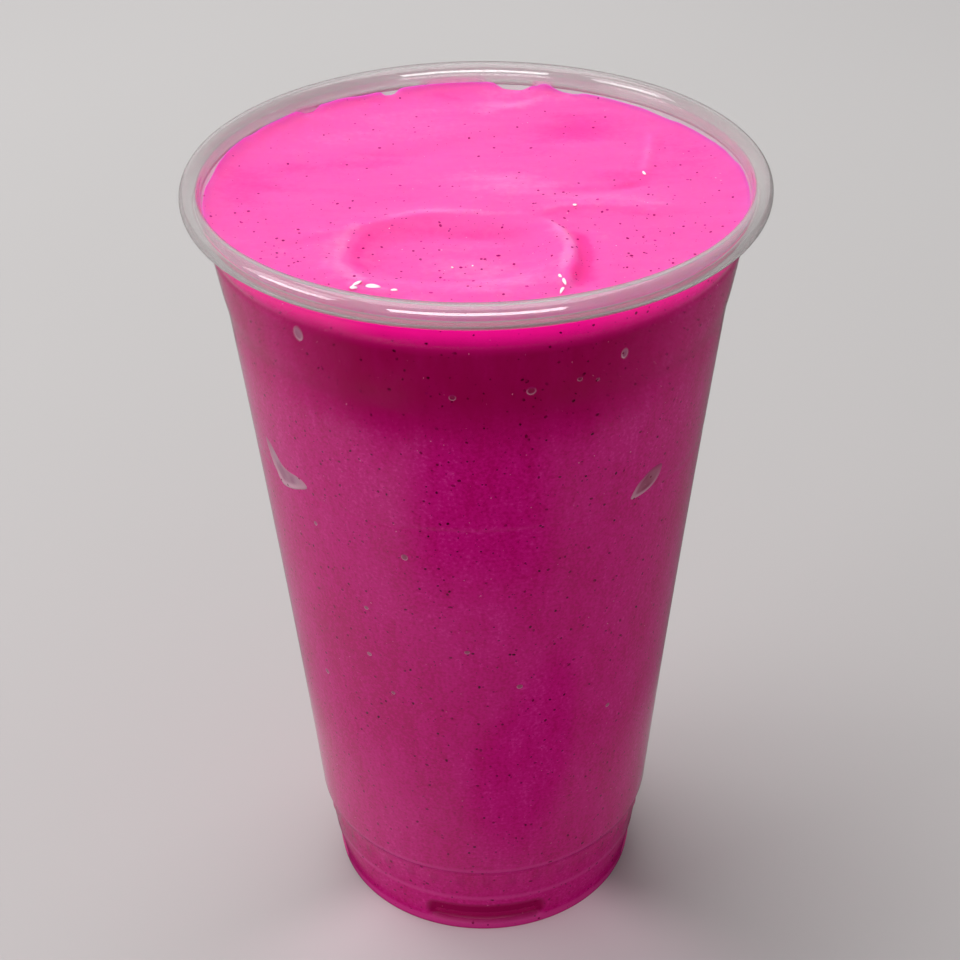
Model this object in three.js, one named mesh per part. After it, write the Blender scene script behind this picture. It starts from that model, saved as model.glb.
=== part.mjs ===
// A berry smoothie in its clear plastic cup.
// Millimetres, +Z up. The origin is the middle of the cup's foot, on the table.

import * as THREE from 'three';

// Cup: overall size and the sheet that it is formed from
const CUP_HEIGHT = 148;
const RIM_RADIUS = 49;
const WALL = 0.5;

// Foot: a standing ring round a raised panel
const PANEL_HEIGHT = 3.2;
const PANEL_RADIUS = 21.5;
const RING_INNER = 24.6;
const FOOT_FILLET = 1.4;
const FOOT_RADIUS = 29.23;
const FOOT_TAPER = 0.134;
const FOOT_TOP = 17.2;

// Main wall: a taper that opens a little faster towards the top
const SHOULDER = 19.2;
const SHOULDER_RADIUS = 32.31;
const WALL_TAPER = 0.083;
const WALL_BOW = 0.0001256;

// Wide band below the rim, set out from the main wall by a step
const BAND_STEP_LOW = 126.8;
const BAND_STEP_HIGH = 128.4;
const BAND_RADIUS = 43.14;
const BAND_TAPER = 0.165;
const BAND_LINE = 138.5;
const BAND_LINE_DEPTH = 0.2;
const BAND_TOP = 144.9;

// Rim: the sheet rolls outwards and down, and stops short of the wall
const CURL_HALF_WIDTH = 1.7;
const CURL_HALF_HEIGHT = 2.15;
const CURL_START = Math.PI;
const CURL_END = -0.72 * Math.PI;
const CURL_STEPS = 9;

// Drink: its level, its gap to the wall and how it climbs the wall
const LEVEL = 143.0;
const GAP = 0.3;
const CLIMB = 0.55;
const CLIMB_REACH = 1.3;

// Faceting
const SEGMENTS = 64;
const TOP_RINGS = 18;
const WALL_STEPS = 4;

// Hollow scooped in the drink's surface, towards the front
const HOLLOW = { x: -4.2, y: -21.5, halfWidth: 18.2, halfDepth: 14.0, depth: 1.25, power: 2.4, lip: 0.3 };

// Swirls in the surface. Each follows a path, and falls away over its left and right widths.
// A negative height is a trough.
const SWIRLS = [
  {
    name: 'crest right of the hollow',
    path: [[9.6, -8.0], [12.9, -13.0], [14.7, -19.2], [14.9, -25.0], [13.9, -30.5], [12.8, -35.0]],
    height: 0.75, left: 1.1, right: 3.2,
  },
  {
    name: 'trough beside that crest',
    path: [[15.4, -13.0], [17.3, -20.0], [17.4, -27.0], [15.8, -34.0]],
    height: -0.45, left: 2.4, right: 1.6,
  },
  {
    name: 'crest behind the hollow',
    path: [[-34.0, -17.0], [-28.0, -15.2], [-21.5, -12.6], [-15.0, -9.4], [-7.5, -6.7], [2.0, -6.2], [9.6, -7.2]],
    height: 0.35, left: 3.5, right: 1.2,
  },
  {
    name: 'second crest, running right',
    path: [[8.5, -7.6], [12.0, -5.6], [17.0, -4.8], [23.0, -5.3], [28.0, -6.9], [31.0, -9.5]],
    height: 0.45, left: 4.5, right: 1.1,
  },
  {
    name: 'shoulder left of the hollow',
    path: [[-21.5, -12.6], [-24.3, -17.0], [-24.8, -22.0], [-23.0, -28.0], [-18.4, -33.0]],
    height: 0.45, left: 2.0, right: 4.0,
  },
  {
    name: 'wet fold at the front left',
    path: [[-20.5, -31.3], [-17.0, -33.4], [-13.0, -33.8]],
    height: 0.4, left: 1.0, right: 1.2,
  },
  {
    name: 'short fold at the back right',
    path: [[31.2, 25.0], [30.4, 19.0], [29.4, 12.5], [28.1, 6.8]],
    height: 0.45, left: 1.7, right: 1.4,
  },
  {
    name: 'trough below that fold',
    path: [[12.0, 1.6], [18.0, 1.3], [24.0, 2.4], [30.0, 5.0]],
    height: -0.3, left: 1.6, right: 2.2,
  },
  {
    name: 'broad trough across the back',
    path: [[-28.0, 14.0], [-20.0, 16.7], [-10.5, 17.7], [-4.5, 20.9], [3.0, 23.7], [15.0, 27.7], [25.0, 29.7]],
    height: -0.3, left: 3.0, right: 5.0,
  },
  {
    name: 'thin crest at the very back',
    path: [[-1.0, 33.0], [4.0, 35.5], [10.0, 38.5], [14.0, 41.0]],
    height: 0.3, left: 1.2, right: 1.6,
  },
];
const SWIRL_STEPS = 16;
const SWIRL_END = 0.22;

// Slow waves over the whole surface: height, and how fast each turns along x and y
const WAVES = [
  { height: 0.07, x: 0.11, y: 0.31, start: 0.4 },
  { height: 0.05, x: -0.21, y: 0.16, start: 2.1 },
];

function smooth(value) {
  const t = Math.min(Math.max(value, 0), 1);
  return t * t * (3 - 2 * t);
}

function footRadius(z) {
  return FOOT_RADIUS + FOOT_TAPER * z;
}

function mainRadius(z) {
  const up = z - SHOULDER;
  return SHOULDER_RADIUS + WALL_TAPER * up + WALL_BOW * up * up;
}

function bandRadius(z) {
  return BAND_RADIUS + BAND_TAPER * (z - BAND_STEP_HIGH);
}

// Outer face of the sheet from the middle of the base to the top of the band, as [radius, height].
function wallOutline() {
  const points = [[0, PANEL_HEIGHT], [PANEL_RADIUS, PANEL_HEIGHT], [RING_INNER, 0]];
  const filletX = footRadius(FOOT_FILLET) - FOOT_FILLET;
  for (let i = 0; i <= 3; i += 1) {
    const angle = (-90 + 30 * i) * THREE.MathUtils.DEG2RAD;
    const x = filletX + FOOT_FILLET * Math.cos(angle);
    points.push([x, FOOT_FILLET + FOOT_FILLET * Math.sin(angle)]);
  }
  points.push([footRadius(FOOT_TOP), FOOT_TOP]);
  for (let i = 0; i <= WALL_STEPS; i += 1) {
    const z = THREE.MathUtils.lerp(SHOULDER, BAND_STEP_LOW, i / WALL_STEPS);
    points.push([mainRadius(z), z]);
  }
  points.push([bandRadius(BAND_STEP_HIGH), BAND_STEP_HIGH]);
  for (const [dz, depth] of [[-0.9, 0], [0, BAND_LINE_DEPTH], [0.9, 0]]) {
    const z = BAND_LINE + dz;
    points.push([bandRadius(z) - depth, z]);
  }
  points.push([bandRadius(BAND_TOP), BAND_TOP]);
  return points;
}

// The sheet's face inside the roll of the rim.
function curlOutline() {
  const points = [];
  const middleX = RIM_RADIUS - CURL_HALF_WIDTH;
  const middleZ = CUP_HEIGHT - CURL_HALF_HEIGHT;
  for (let i = 0; i <= CURL_STEPS; i += 1) {
    const angle = THREE.MathUtils.lerp(CURL_START, CURL_END, i / CURL_STEPS);
    const x = middleX + (CURL_HALF_WIDTH - WALL) * Math.cos(angle);
    const z = middleZ + (CURL_HALF_HEIGHT - WALL) * Math.sin(angle);
    points.push([x, z]);
  }
  return points;
}

// The same outline moved inwards, square to itself, by a distance.
function offsetOutline(points, distance) {
  return points.map(([x, z], i) => {
    const before = points[Math.max(i - 1, 0)];
    const after = points[Math.min(i + 1, points.length - 1)];
    const into = new THREE.Vector2(x - before[0], z - before[1]);
    const out = new THREE.Vector2(after[0] - x, after[1] - z);
    into.normalize();
    out.normalize();
    const along = new THREE.Vector2().addVectors(into, out).normalize();
    const square = into.lengthSq() > 0 ? along.dot(into) : along.dot(out);
    const reach = distance / square;
    return [Math.max(x - along.y * reach, 0), z + along.x * reach];
  });
}

function lathe(points) {
  const outline = points.map(([x, z]) => new THREE.Vector2(x, z));
  return new THREE.LatheGeometry(outline, SEGMENTS).rotateX(Math.PI / 2);
}

function makeCup() {
  const outer = [...wallOutline(), ...curlOutline()];
  const inner = offsetOutline(outer, WALL);
  inner[0][0] = 0;
  return lathe([...outer, ...inner.reverse()]);
}

// Each swirl's path as a smooth run of short straight pieces.
const swirls = SWIRLS.map((swirl) => {
  const points = swirl.path.map(([x, y]) => new THREE.Vector2(x, y));
  return { ...swirl, run: new THREE.SplineCurve(points).getPoints(SWIRL_STEPS) };
});

// Height that one swirl adds at (x, y): highest on its path, nothing at its two ends.
function swirlHeight(swirl, x, y) {
  let nearest = Infinity;
  let side = 1;
  let place = 0;
  for (let i = 0; i < SWIRL_STEPS; i += 1) {
    const start = swirl.run[i];
    const along = new THREE.Vector2().subVectors(swirl.run[i + 1], start);
    const from = new THREE.Vector2(x - start.x, y - start.y);
    const t = THREE.MathUtils.clamp(from.dot(along) / along.lengthSq(), 0, 1);
    const gap = from.clone().addScaledVector(along, -t).length();
    if (gap < nearest) {
      nearest = gap;
      side = along.cross(from);
      place = (i + t) / SWIRL_STEPS;
    }
  }
  const width = side > 0 ? swirl.left : swirl.right;
  const ends = smooth(place / SWIRL_END) * smooth((1 - place) / SWIRL_END);
  return swirl.height * ends * Math.exp(-((nearest / width) ** 2));
}

function hollowDepth(x, y) {
  const across = Math.abs((x - HOLLOW.x) / HOLLOW.halfWidth) ** HOLLOW.power;
  const deep = Math.abs((y - HOLLOW.y) / HOLLOW.halfDepth) ** HOLLOW.power;
  const reach = (across + deep) ** (1 / HOLLOW.power);
  return HOLLOW.depth * smooth((1 - reach) / HOLLOW.lip);
}

// Surface of the drink at (x, y), where edge is the drink's own radius at its top.
function surface(x, y, edge) {
  let z = LEVEL - hollowDepth(x, y);
  for (const swirl of swirls) {
    z += swirlHeight(swirl, x, y);
  }
  for (const wave of WAVES) {
    z += wave.height * Math.sin(wave.x * x + wave.y * y + wave.start);
  }
  return z + CLIMB * Math.exp((Math.hypot(x, y) - edge) / CLIMB_REACH);
}

function makeSmoothie() {
  const fill = offsetOutline(wallOutline(), WALL + GAP).filter(([, z]) => z < BAND_LINE + 2);
  fill[0][0] = 0;
  const edge = bandRadius(LEVEL) - WALL - GAP;
  const top = [];
  for (let i = 0; i <= TOP_RINGS; i += 1) {
    top.push([edge * (1 - i / TOP_RINGS), LEVEL]);
  }
  const geometry = lathe([...fill, ...top]);
  const position = geometry.attributes.position;
  for (let i = 0; i < position.count; i += 1) {
    if (Math.abs(position.getZ(i) - LEVEL) < 0.001) {
      position.setZ(i, surface(position.getX(i), position.getY(i), edge));
    }
  }
  return geometry;
}

const clearPlastic = new THREE.MeshStandardMaterial({
  color: 0xd9d6d4,
  roughness: 0.08,
  metalness: 0,
  transparent: true,
  opacity: 0.3,
});
const berrySmoothie = new THREE.MeshStandardMaterial({ color: 0xf45fb4, roughness: 0.35, metalness: 0 });

const group = new THREE.Group();
for (const [name, geometry, material] of [
  ['cup', makeCup(), clearPlastic],
  ['smoothie', makeSmoothie(), berrySmoothie],
]) {
  const mesh = new THREE.Mesh(geometry, material);
  mesh.name = name;
  group.add(mesh);
}

export default group;
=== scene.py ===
# A berry smoothie in its clear plastic cup: the finish, the light and the camera.
# Sizes are in millimetres until a mesh is made, and metres from then on.

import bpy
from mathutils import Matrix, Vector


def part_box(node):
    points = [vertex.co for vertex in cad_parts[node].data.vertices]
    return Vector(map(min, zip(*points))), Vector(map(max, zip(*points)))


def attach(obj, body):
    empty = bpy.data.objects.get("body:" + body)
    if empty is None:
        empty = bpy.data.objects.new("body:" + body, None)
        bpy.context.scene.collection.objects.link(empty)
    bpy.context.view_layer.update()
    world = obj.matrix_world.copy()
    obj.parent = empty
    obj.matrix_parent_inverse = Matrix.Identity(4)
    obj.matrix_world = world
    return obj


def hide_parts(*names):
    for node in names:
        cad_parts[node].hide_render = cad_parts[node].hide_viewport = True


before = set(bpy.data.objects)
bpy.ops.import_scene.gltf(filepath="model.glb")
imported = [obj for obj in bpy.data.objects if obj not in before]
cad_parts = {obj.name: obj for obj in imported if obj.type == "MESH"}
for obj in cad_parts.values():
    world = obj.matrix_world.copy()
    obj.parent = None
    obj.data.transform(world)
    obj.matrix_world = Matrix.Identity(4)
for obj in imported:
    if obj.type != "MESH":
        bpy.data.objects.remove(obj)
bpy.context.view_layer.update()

import math

import bmesh
import bpy
import numpy as np
from mathutils import Matrix, Vector

MM = 0.001
BODY = "root"

# Overall size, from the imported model
CUP_BOX = [np.array(corner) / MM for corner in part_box("cup")]
CUP_HEIGHT = round(CUP_BOX[1][2])
RIM_RADIUS = round(CUP_BOX[1][0])

# Camera, fitted to the photographed rim and outline
CAMERA_LENS = 72.43
CAMERA_SENSOR = 36.0
CAMERA_DISTANCE = 353.54
CAMERA_AIM_HEIGHT = 86.07
CAMERA_ELEVATION = 33.45
CAMERA_ROLL = -0.79

# Cup: the formed sheet
WALL = 0.5
PANEL_HEIGHT = 3.2
PANEL_RADIUS = 21.5
RING_INNER = 24.6
PANEL_SLOPE = (PANEL_RADIUS - 0.6, RING_INNER + 0.4)
FOOT_FILLET = 1.4
FOOT_RADIUS = 29.23
FOOT_TAPER = 0.134
FOOT_TOP = 17.2
SHOULDER = 19.2
SHOULDER_RADIUS = 32.31
WALL_TAPER = 0.083
WALL_BOW = 0.0001256
BAND_STEP_LOW = 126.8
BAND_STEP_HIGH = 128.4
BAND_STEP_SOFT = 2.0
BAND_RADIUS = 43.14
BAND_TAPER = 0.165
BAND_TOP = 144.9
CURL_HALF_WIDTH = 1.7
CURL_HALF_HEIGHT = 2.15
CURL_START = math.pi
CURL_END = -0.72 * math.pi
CURL_STEPS = 34

# How milky the plastic is where it is rolled and at its cut edge, and the height where that begins
MILK = 0.2
CUT_MILK = 0.85
MILK_START = 143.5
MILK_REACH = 1.4

# Moulded lines round the wall: height, depth and half width of each groove
MOULD_LINES = [(138.5, 0.2, 0.7), (102.1, 0.07, 0.6), (9.9, 0.06, 0.5)]

# Foot relief: small upright lugs under the shoulder, and curved recesses for stacking. It is pressed
# into the wall alone, which lies past this radius.
RELIEF_START = RING_INNER + 2
LUG_COUNT = 40
LUG_HEIGHT = 0.28
LUG_MIDDLE = 15.4
LUG_HALF = 1.9
RECESS_COUNT = 4
RECESS_HALF_ANGLE = math.radians(22.5)
RECESS_END = math.radians(3.0)
RECESS_LOW = 2.6
RECESS_HIGH = 7.9
RECESS_DEPTH = 1.0
RECESS_LEDGE = 0.7
RECESS_CORNER = 2.2

# Painted shade on the drink behind that relief
RECESS_SHADE_SHIFT = 0.55
RECESS_SHADE_SOFT = 0.9
LUG_SHADE = 0.34
LUG_SHADE_HALF = 0.8 * LUG_HALF

# Windows of light: bearing, elevation, width and height in degrees, radiance, and whether matt and
# glossy things take it. They face a point above the floor, and both distances are in metres.
WINDOW_DISTANCE = 1.4
WINDOW_AIM_HEIGHT = 0.1
WINDOWS = [
    ("back_overhead", -150, 64, 50, 42, 4.4, True, False),
    ("left_window", -78, 34, 34, 30, 2.3, True, True),
    ("ceiling_sheen", 0, 86, 62, 56, 2.0, False, True),
    ("front_strip", 0, 22, 60, 19, 9.0, False, True),
    ("left_strip", -70, 22, 30, 14, 5.5, False, True),
]

# Pale surround as it is seen and mirrored, and the dimmer fill that it gives to matt things
SURROUND = (0.62, 0.61, 0.61, 1)
FILL = (0.365, 0.365, 0.37, 1)
FLOOR_HALF = 4000

# Drink. It reaches a little into the wall, and its inset is from the wall's outer face.
LEVEL = 143.0
CLIMB = 0.55
CLIMB_REACH = 1.3
BITE = 0.15
INSET = WALL - BITE

# Edge of the drink round the wall: angle from the front, and how far the surface swells there
EDGE_REACH = 6.0
EDGE_RISE = [
    (-170, 1.15), (-150, 0.9), (-128, 1.25), (-112, 1.15), (-92, 0.6), (-55, 0.15), (0, 0.0),
    (50, 0.2), (76, 0.8), (96, 0.9), (120, 0.5), (140, 0.4), (164, 0.8), (178, 1.1),
]

# Notches in that edge, where the drink parts from the wall: angle, depth (a lip is negative), half width
NOTCH_REACH = 0.9
NOTCHES = [
    (-138.5, 0.8, 2.4), (-159.8, 0.9, 1.9), (171, 1.25, 3.6), (157.5, 0.5, 3.0), (163.2, -0.45, 1.5),
    (-98, 0.25, 4.0), (132, 0.3, 4.0), (104, 0.25, 3.0), (-120, 0.15, 2.5), (-148, -0.2, 3.0),
]

# Pale smear of drink above that edge: from one angle to another, with its lowest and highest places
SMEARS = [(-166.5, -183.5, 144.3, 146.1), (-131.5, -141.5, 143.9, 145.6), (166.5, 161.0, 144.3, 145.6)]
SMEAR_STEPS = (40, 14)
SMEAR_BITE = 0.02
SMEAR_THICKNESS = 0.06

# Fine streaks in the surface: how many, the smallest and largest turn rate across them, how they
# lean and bend, and height
STREAKS = 26
STREAK_SEED = 11
STREAK_RATES = (0.45, 2.4)
STREAK_LEAN = (-0.2, 0.28)
STREAK_BEND = (0.3, 1.1)
STREAK_SWING = 0.13
STREAK_HEIGHT = 0.013

# How far round it a crest is judged, and how high it stands where its painted light is palest
CREST_REACH = 1.8
CREST_FULL = 0.2

# Soft marbling of the surface: x, y, half length, half width, turn, and how much paler it is
MARBLING = [
    (17.6, 25.4, 10, 6, 12, -0.9), (-17.4, 13.6, 7, 3.4, -4, -0.6), (-4.0, 40.0, 5, 2.4, 0, -0.5),
    (35.7, 16.0, 6, 8, 0, -0.5), (17.7, -30.3, 2.6, 8, 6, -0.4), (-6.4, -11.8, 15, 2.6, 2, -0.35),
    (-20.1, -36.5, 5, 2.2, -12, -0.5), (7.1, 7.0, 13, 6, 0, 0.35), (-38.5, 0.5, 5, 7, 0, -0.6),
    (2.0, -25.8, 10, 5, 0, 0.6), (6.4, 38.2, 9, 1.8, 8, 0.6), (24.5, 6.0, 8, 4, 0, -0.5),
    (-26.0, 26.0, 9, 3, 8, 0.2), (30.0, -4.0, 9, 2.2, -6, 0.3), (-29.0, 11.0, 8, 3, 0, -0.45),
]

# Waves that bend the marbling along x and along y: height, turn rate along x and y, start
WARP_X = [(1.3, 0.17, 0.31, 1.0), (0.6, -0.4, 0.83, 0.0)]
WARP_Y = [(1.1, 0.23, 0.0, 0.4), (0.5, 0.71, 0.5, 2.0)]
WARP_ON_BANDS = 0.25

# Paler and deeper bands round the hollow, painted light and shade on the flanks of its crests: path,
# how much paler, left and right widths
LIGHT_AND_SHADE_BANDS = [
    (
        [(-18.0, -8.8), (-21.0, -13.9), (-22.2, -18.8), (-21.4, -23.7), (-18.8, -28.2), (-14.9, -32.6)],
        0.8, 1.4, 1.8,
    ),
    (
        [(-18.0, -9.6), (-12.5, -7.5), (-7.9, -6.4), (0.6, -7.0), (7.2, -6.7), (11.7, -8.3)],
        0.55, 0.9, 0.8,
    ),
    ([(11.6, -9.5), (14.0, -15.0), (14.7, -20.0), (14.2, -25.2), (12.9, -30.5)], 0.85, 1.3, 0.9),
    ([(15.9, -13.0), (17.0, -20.0), (16.4, -26.0), (14.8, -34.0)], -1.0, 1.0, 1.8),
    ([(-15.4, -11.6), (-18.9, -16.5), (-19.4, -21.7), (-17.0, -26.6)], -0.6, 1.3, 1.1),
]

# Small wet lumps, with a painted white glint on top: x, y, half length, half width, turn
WET_LUMPS = [
    (-18.5, -31.9, 0.42, 1.3, -32), (-18.9, -33.2, 0.6, 0.55, 0), (-16.0, -32.7, 1.35, 0.8, -4),
    (-12.7, -33.4, 0.6, 0.4, -10), (12.7, -30.3, 0.27, 0.7, 10), (13.3, -32.0, 0.33, 1.2, 4),
    (12.9, -34.1, 0.30, 1.3, -14), (16.2, -5.1, 0.34, 0.5, 0), (-3.9, -23.5, 0.22, 0.3, 0),
    (-0.7, -23.1, 0.18, 0.25, 0), (28.6, 7.7, 0.26, 1.0, 10),
]
LUMP_HEIGHT = 0.4
LUMP_UNEVEN = (0.07, 0.1)
LUMP_GLINT_START = 0.15
LUMP_GLINT_REACH = 0.45
LUMP_RINGS = 8
LUMP_STEPS = 20

# Mesh fineness. The drink's side follows the rows of the cup up to a height, and then its own edge.
CUP_TURN = 320
DRINK_TURN = 320
SIDE_ROWS_TOP = 136.0
EDGE_ROWS = 15
TOP_RINGS = 116

# Small grains in the drink's skin, one piece for each kind. Density is per square metre, small and
# large are radii, and length is how much longer than wide. The finish goes from dark to pale in
# patches, and over to the last tone on the open top.
GRAIN_LENGTH = (0.9, 1.6)
GRAINS = {
    "dark_seeds": {
        "density": 1.7e5, "small": 0.06, "large": 0.28, "falloff": 3.2, "flatness": 0.5, "draw": 5,
        "finish": "dark_seed", "patches": 1100.0, "ior": 1.02, "dark": (0.07, 0.0, 0.012, 1),
        "pale": (0.34, 0.001, 0.08, 1), "on_top": (0.54, 0.003, 0.17, 1),
    },
    "berry_flecks": {
        "density": 2.6e4, "small": 0.10, "large": 0.30, "falloff": 1.8, "flatness": 0.18, "draw": 23,
        "finish": "berry_skin", "patches": 700.0, "ior": 1.02, "dark": (0.22, 0.001, 0.045, 1),
        "pale": (0.44, 0.002, 0.12, 1), "on_top": (0.75, 0.02, 0.30, 1),
    },
    "fine_froth": {
        "density": 2.6e4, "small": 0.045, "large": 0.13, "falloff": 2.4, "flatness": 0.5, "draw": 41,
        "finish": "pale_froth", "patches": 900.0, "ior": 1.1, "dark": (0.85, 0.12, 0.38, 1),
        "pale": (0.92, 0.34, 0.56, 1), "on_top": (1.0, 0.45, 0.72, 1),
    },
}

# How densely they lie, where the side is one: under the base, at the back of the open top, and how
# much more towards its front. On the open top they are also a little smaller.
UNDER_SHARE = 0.2
TOP_SHARE = 0.3
TOP_FRONT_SHARE = 0.9
TOP_FRONT_START = 20
TOP_FRONT_REACH = 50
TOP_GRAIN_SIZE = 0.92

# Pockets of air against the wall: outline as angle from the front and height
AIR_POCKETS = {
    "left": [
        (-62.6, 107.8), (-61.7, 104.7), (-59.6, 101.9), (-57.0, 100.3), (-52.9, 100.8), (-48.9, 102.0),
        (-45.9, 103.3), (-46.9, 104.3), (-49.4, 104.6), (-53.0, 104.4), (-56.3, 105.0), (-59.6, 107.2),
    ],
    "right": [
        (38.4, 102.6), (41.4, 102.4), (44.2, 102.8), (46.4, 103.6), (47.9, 104.9),
        (48.2, 106.7), (45.5, 107.0), (43.4, 106.6), (41.6, 105.8), (39.9, 104.8),
    ],
}

# Round bubbles against the wall: angle from the front, height, width, height over width, and how
# pale the middle is
BUBBLES = [
    (-38.8, 136.3, 1.9, 1.45, 0.8), (30.9, 133.8, 1.25, 1.6, 0.8), (-5.4, 129.4, 1.2, 1.0, 0.0),
    (10.7, 130.2, 1.6, 1.0, 0.0), (21.0, 131.0, 0.95, 0.9, 0.1), (25.2, 130.1, 0.7, 1.1, 0.2),
    (-18.7, 95.6, 1.2, 1.1, 0.4), (-31.3, 81.7, 0.9, 0.9, 0.5), (-32.3, 70.7, 1.0, 0.9, 0.5),
    (-4.0, 75.5, 1.0, 0.8, 0.3), (-51.7, 59.8, 1.1, 1.0, 0.5), (10.1, 66.8, 1.1, 0.9, 0.4),
    (-25.9, 63.0, 0.8, 1.0, 0.4), (39.3, 55.3, 0.9, 1.0, 0.4), (-44.8, 96.3, 0.8, 1.2, 0.6),
    (118.0, 118.0, 1.8, 1.2, 0.2), (163.0, 96.0, 1.5, 1.0, 0.1), (-140.0, 109.0, 2.1, 1.3, 0.8),
    (-96.0, 77.0, 1.4, 1.0, 0.3), (92.0, 61.0, 1.3, 0.9, 0.2), (-168.0, 131.0, 1.7, 1.0, 0.0),
    (141.0, 40.0, 1.5, 1.1, 0.4),
]
AIR_PALE = {"left": 1.0, "right": 0.35}

# How far they stand out of the drink into the wall, and how much farther near their edge
AIR_OUT = 0.012
AIR_LIP = 0.045
AIR_LIP_SHARE = 0.5
POCKET_RINGS = 10
POCKET_STEPS = 72
BUBBLE_RINGS = 6
BUBBLE_STEPS = 24

# Hollow scooped in the surface, towards the front
HOLLOW_MIDDLE = (-4.2, -21.5)
HOLLOW_HALF = (18.2, 14.0)
HOLLOW_DEPTH = 1.25
HOLLOW_POWER = 2.4
HOLLOW_LIP = 0.42
HOLLOW_FRONT_LIP = 0.5
HOLLOW_FRONT_START = 2
HOLLOW_FRONT_REACH = 12

# Swirls in the surface: path, height (a trough is negative), left and right widths
SWIRLS = {
    "crest right of the hollow": (
        [(9.6, -8.0), (12.9, -13.0), (14.7, -19.2), (14.9, -25.0), (13.9, -30.5), (12.8, -35.0)],
        0.62, 1.0, 2.7,
    ),
    "trough beside that crest": (
        [(15.4, -13.0), (17.3, -20.0), (17.4, -27.0), (15.8, -34.0)],
        -0.45, 2.4, 1.6,
    ),
    "crest behind the hollow": (
        [
            (-34.0, -17.0), (-28.0, -15.2), (-21.5, -12.6), (-15.0, -9.4),
            (-7.5, -6.7), (2.0, -6.2), (9.6, -7.2),
        ],
        0.35, 3.5, 1.2,
    ),
    "second crest, running right": (
        [(8.5, -7.6), (12.0, -5.6), (17.0, -4.8), (23.0, -5.3), (28.0, -6.9), (31.0, -9.5)],
        0.45, 4.5, 1.1,
    ),
    "shoulder left of the hollow": (
        [(-21.5, -12.6), (-24.3, -17.0), (-24.8, -22.0), (-23.0, -28.0), (-18.4, -33.0)],
        0.45, 2.0, 4.0,
    ),
    "wet fold at the front left": (
        [(-20.5, -31.3), (-17.0, -33.4), (-13.0, -33.8)],
        0.4, 1.0, 1.2,
    ),
    "short fold at the back right": (
        [(31.2, 25.0), (30.4, 19.0), (29.4, 12.5), (28.1, 6.8)],
        0.3, 1.1, 0.9,
    ),
    "trough below that fold": (
        [(12.0, 1.6), (18.0, 1.3), (24.0, 2.4), (30.0, 5.0)],
        -0.3, 1.6, 2.2,
    ),
    "broad trough across the back": (
        [
            (-28.0, 14.0), (-20.0, 16.7), (-10.5, 17.7), (-4.5, 20.9),
            (3.0, 23.7), (15.0, 27.7), (25.0, 29.7),
        ],
        -0.3, 3.0, 5.0,
    ),
    "thin crest at the very back": (
        [(-1.0, 33.0), (4.0, 35.5), (10.0, 38.5), (14.0, 41.0)],
        0.14, 1.2, 1.6,
    ),
}
SWIRL_STEPS = 24
SWIRL_END = 0.22

# Slow waves over the whole surface: height, turn rate along x and y, start
WAVES = [(0.07, 0.11, 0.31, 0.4), (0.05, -0.21, 0.16, 2.1)]

# Colours of the drink: its open top, its side, the painted shade of the band and recesses, the painted
# highlight of the foot's lines, the light that leaves under the rim, and how far light spreads in each
# colour
TOP_PALE = (0.94, 0.185, 0.515, 1)
TOP_MIDDLE = (0.94, 0.089, 0.41, 1)
TOP_DEEP = (0.94, 0.035, 0.32, 1)
SIDE_DEEP = (0.67, 0.0, 0.187, 1)
SIDE_PALE = (0.79, 0.003, 0.268, 1)
SIDE_FROTH = (0.90, 0.03, 0.37, 1)
PAINTED_BAND_SHADE = (0.46, 0.0, 0.096, 1)
PAINTED_SHADE_TONE = (0.48, 0.0, 0.115, 1)
FOOT_HIGHLIGHT = (0.90, 0.06, 0.38, 1)
GLOW = (0.82, 0.004, 0.25, 1)
SCATTER = (0.0035, 0.0006, 0.0018)

# Other colours. Those in pairs go from one to the other in patches.
LUMP_GLINT = (1.0, 0.90, 0.95, 1)
SMEAR_PALE = (1.0, 0.55, 0.80, 1)
AIR_DEEP_TONES = (0.30, 0.001, 0.055, 1), (0.42, 0.02, 0.11, 1)
AIR_PALE_TONES = (0.52, 0.17, 0.31, 1), (0.66, 0.32, 0.46, 1)
AIR_EDGE_LIGHT_TONES = (0.50, 0.008, 0.16, 1), (0.84, 0.46, 0.60, 1)
CLEAR = (0.97, 0.97, 0.968, 1)
CLEAR_PASSING = (0.93, 0.93, 0.93, 1)
MILKY_TONES = (0.40, 0.36, 0.36, 1), (0.47, 0.43, 0.42, 1)
FLOOR_TONES = (0.47, 0.455, 0.45, 1), (0.51, 0.495, 0.49, 1)
FLOOR_DARK = (0.004, 0.003, 0.003, 1)
FLOOR_NEAR_GLOW = (0.19, 0.135, 0.155, 1)
FLOOR_FAR_GLOW = (0.40, 0.395, 0.39, 1)
BLACK = (0.0, 0.0, 0.0, 1)

# Painted on the drink's side by height, in metres from here on: the band of painted shade, which is
# fullest at the front, the light under the rim, and lines of painted highlight and painted shade, as
# their rise, fall and strength
SHADED_BAND = (0.1145, 0.1295)
SHADED_BAND_AHEAD = (0.028, 0.041)
SHADED_BAND_SIDES = 0.35
GLOW_HEIGHT = (0.1368, 0.1437)
PAINTED_HIGHLIGHT_LINES = [
    ((0.0090, 0.0100), (0.0100, 0.0110), 0.7), ((0.0176, 0.0186), (0.0186, 0.0196), 0.7),
    ((0.0004, 0.0012), (0.0022, 0.0032), 0.9),
]
PAINTED_SHADE_LINES = [((0.1374, 0.1381), (0.1381, 0.1391), 0.5), ((0.1252, 0.1262), (0.1266, 0.1290), 0.25)]

# Where the plastic mirrors less, on the band under the rim: heights, how much less at the front, and
# how much of that is given back towards the sides
QUIET_BAND = (0.1190, 0.1240), (0.1385, 0.1410)
QUIET_FRONT = 0.80
QUIET_EASE = 0.62
QUIET_SIDES = (-0.040, -0.026)

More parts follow.
